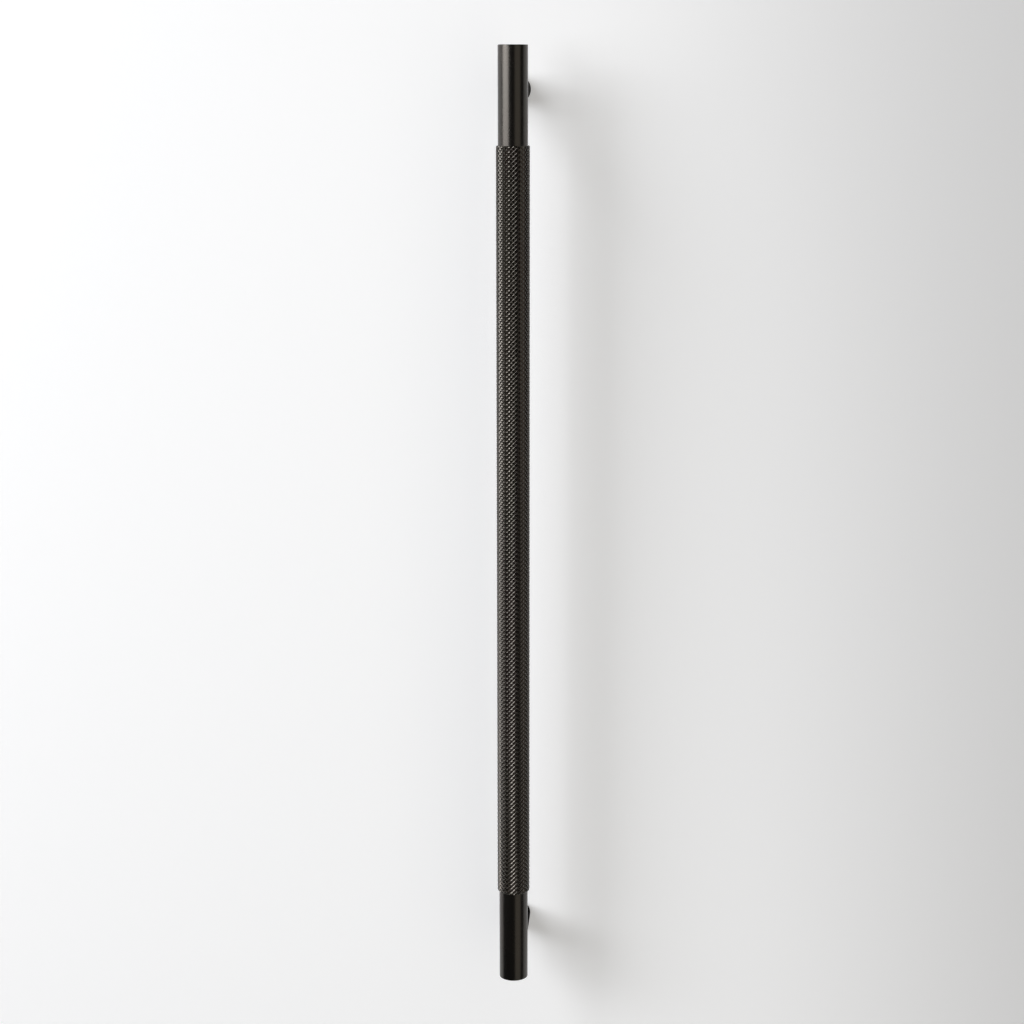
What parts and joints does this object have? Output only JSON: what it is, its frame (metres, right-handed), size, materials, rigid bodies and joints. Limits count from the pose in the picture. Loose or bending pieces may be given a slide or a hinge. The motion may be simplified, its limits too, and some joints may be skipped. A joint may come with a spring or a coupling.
{
  "type": "cabinet pull",
  "caption": "Long slim bar pull with a diamond-knurled grip between smooth ends, carried off the door by round posts with blind tapped fixing holes.",
  "frame": {"origin": "half-way between the two fixing holes, on the plane of the posts' feet, which is the door's face", "axes": "+Z out of the door towards the hand, +Y along the bar to its upper end, +X to the right of someone who faces the door"},
  "size_m": [0.0148, 0.422, 0.0373],
  "materials": {
    "bar_metal": "satin black-bronze coating on turned and knurled metal",
    "post_metal": "satin black-bronze coating on turned metal",
    "stud_steel": "plain steel socket set screw"
  },
  "bodies": {
    "root": {"bar": "bar_metal", "upper_post": "post_metal", "lower_post": "post_metal", "upper_stud": "stud_steel", "lower_stud": "stud_steel"}
  },
  "joints": []
}
